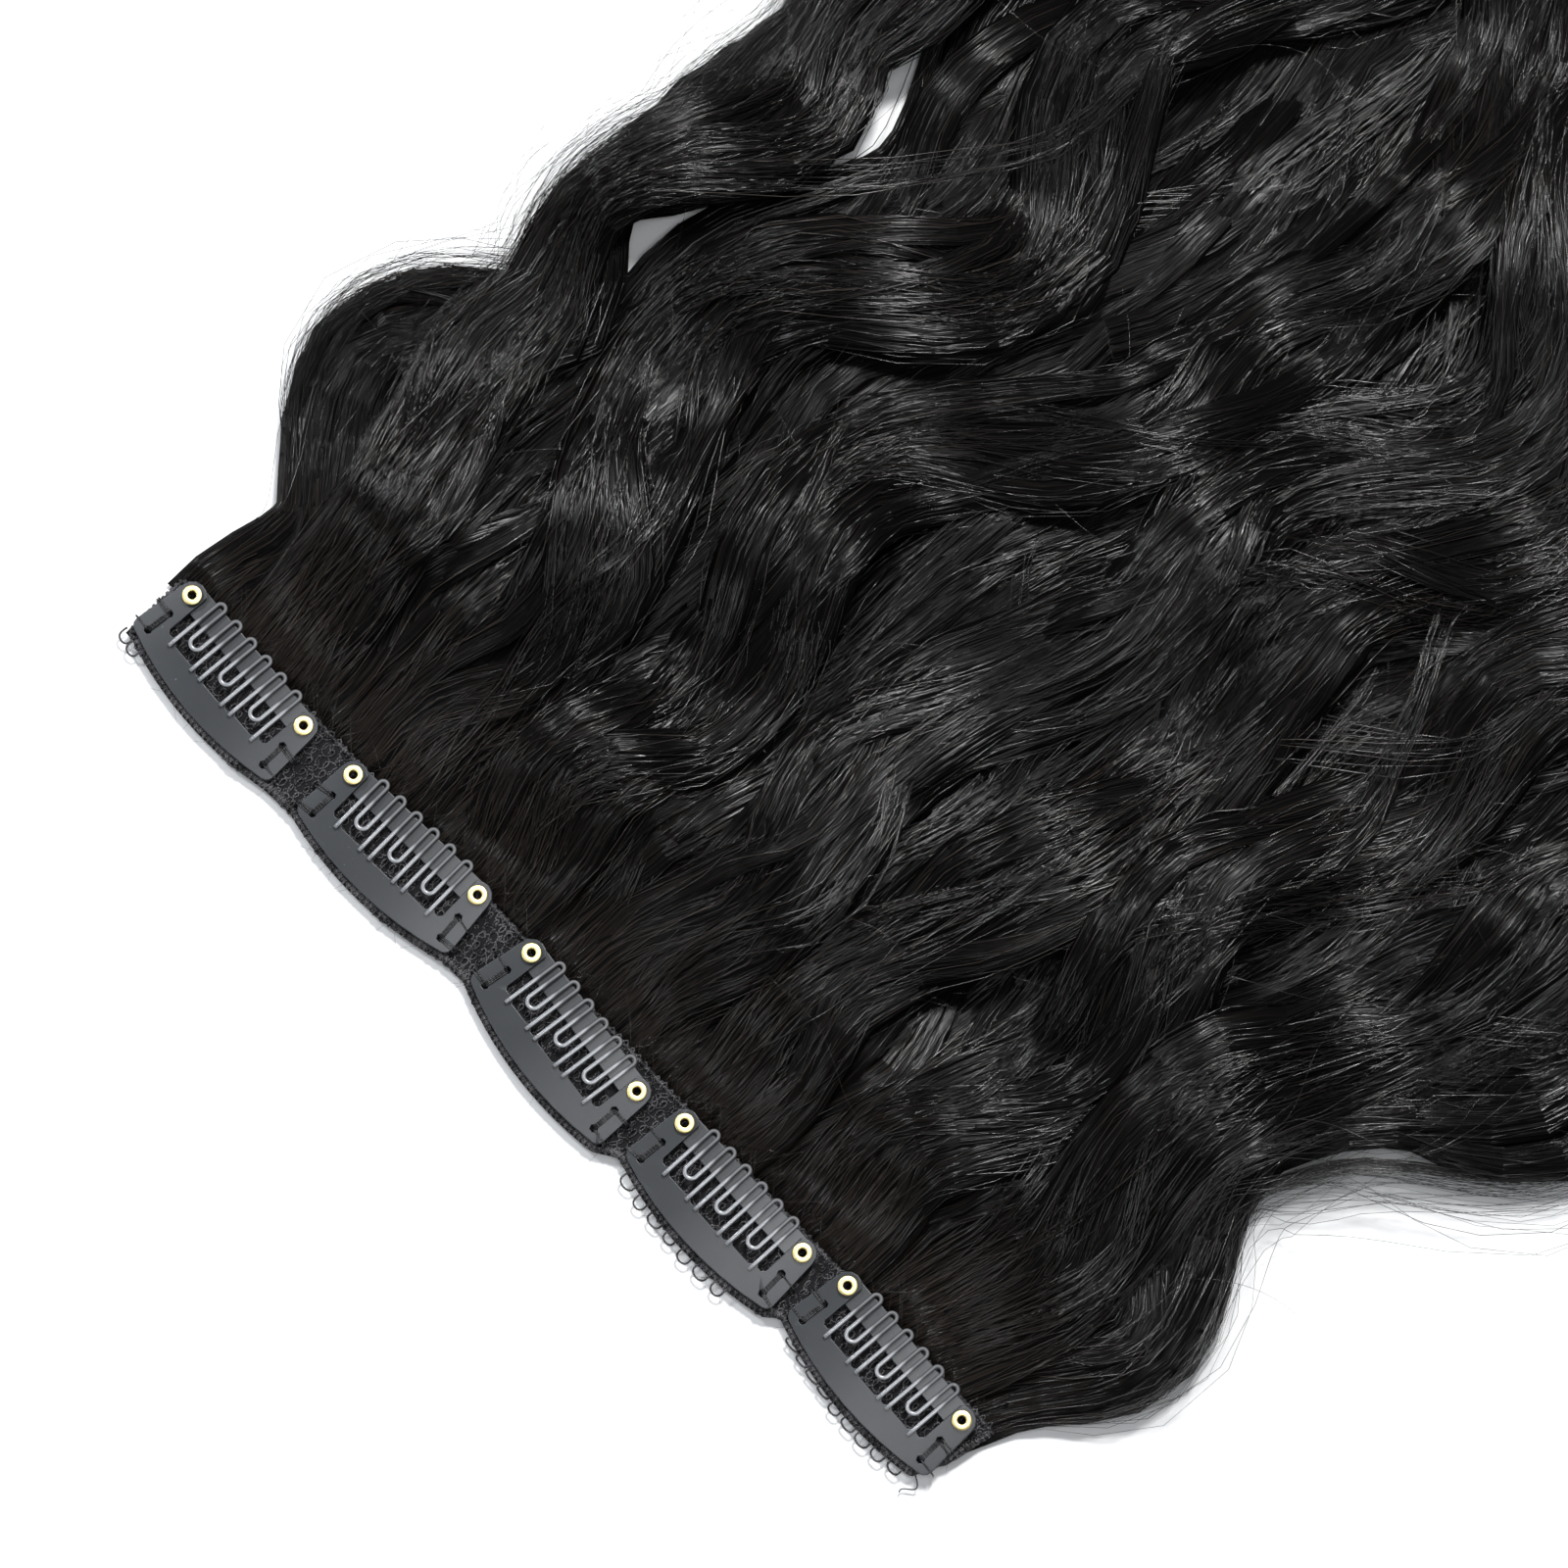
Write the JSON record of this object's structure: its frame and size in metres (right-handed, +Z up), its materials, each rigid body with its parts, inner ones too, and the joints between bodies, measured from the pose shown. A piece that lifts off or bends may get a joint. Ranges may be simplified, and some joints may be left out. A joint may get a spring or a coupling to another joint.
{
  "type": "clip-in hair extension weft",
  "caption": "One weft of long wavy dark hair sewn under a black lace band, with a row of stamped snap clips whose combs lift to grip hair roots.",
  "frame": {"origin": "on the weft's flat back, under the middle of the line of rivets", "axes": "+X along the row of clips, +Y the way the hair falls, +Z up out of the flat back through the clips"},
  "size_m": [0.2283, 0.314, 0.0144],
  "materials": {
    "black_paint": "satin black paint on stamped sheet steel",
    "pale_brass": "polished pale gold eyelets",
    "black_lace": "black crocheted lace with an overlocked edge",
    "dark_hair": "glossy brown-black wavy hair"
  },
  "bodies": {
    "weft": {"clip_sheet_1": "black_paint", "clip_sheet_2": "black_paint", "clip_sheet_3": "black_paint", "clip_sheet_4": "black_paint", "clip_sheet_5": "black_paint", "crossbar_1": "black_paint", "crossbar_2": "black_paint", "crossbar_3": "black_paint", "crossbar_4": "black_paint", "crossbar_5": "black_paint", "hair": "dark_hair", "lace_band": "black_lace", "rivet_1_left": "pale_brass", "rivet_1_right": "pale_brass", "rivet_2_left": "pale_brass", "rivet_2_right": "pale_brass", "rivet_3_left": "pale_brass", "rivet_3_right": "pale_brass", "rivet_4_left": "pale_brass", "rivet_4_right": "pale_brass", "rivet_5_left": "pale_brass", "rivet_5_right": "pale_brass"},
    "comb_1": {"teeth_1_1": "black_paint", "teeth_1_2": "black_paint", "teeth_1_3": "black_paint"},
    "comb_2": {"teeth_2_1": "black_paint", "teeth_2_2": "black_paint", "teeth_2_3": "black_paint"},
    "comb_3": {"teeth_3_1": "black_paint", "teeth_3_2": "black_paint", "teeth_3_3": "black_paint"},
    "comb_4": {"teeth_4_1": "black_paint", "teeth_4_2": "black_paint", "teeth_4_3": "black_paint"},
    "comb_5": {"teeth_5_1": "black_paint", "teeth_5_2": "black_paint", "teeth_5_3": "black_paint"}
  },
  "joints": [
    {"name": "comb_1_lift", "type": "hinge", "parent": "weft", "child": "comb_1", "pos_m": [-0.07379, -0.00679, 0.00426], "axis": [0.9986, -0.0523, 0], "range_deg": [0, 38]},
    {"name": "comb_2_lift", "type": "hinge", "parent": "weft", "child": "comb_2", "pos_m": [-0.03587, -0.00659, 0.00426], "axis": [0.9991, 0.0419, 0], "range_deg": [0, 38]},
    {"name": "comb_3_lift", "type": "hinge", "parent": "weft", "child": "comb_3", "pos_m": [0.00152, -0.00756, 0.00426], "axis": [0.9942, -0.108, 0], "range_deg": [0, 38]},
    {"name": "comb_4_lift", "type": "hinge", "parent": "weft", "child": "comb_4", "pos_m": [0.03705, -0.0074, 0.00426], "axis": [0.9997, -0.0227, 0], "range_deg": [0, 38]},
    {"name": "comb_5_lift", "type": "hinge", "parent": "weft", "child": "comb_5", "pos_m": [0.07159, -0.00691, 0.00426], "axis": [0.9984, -0.0558, 0], "range_deg": [0, 38]}
  ]
}
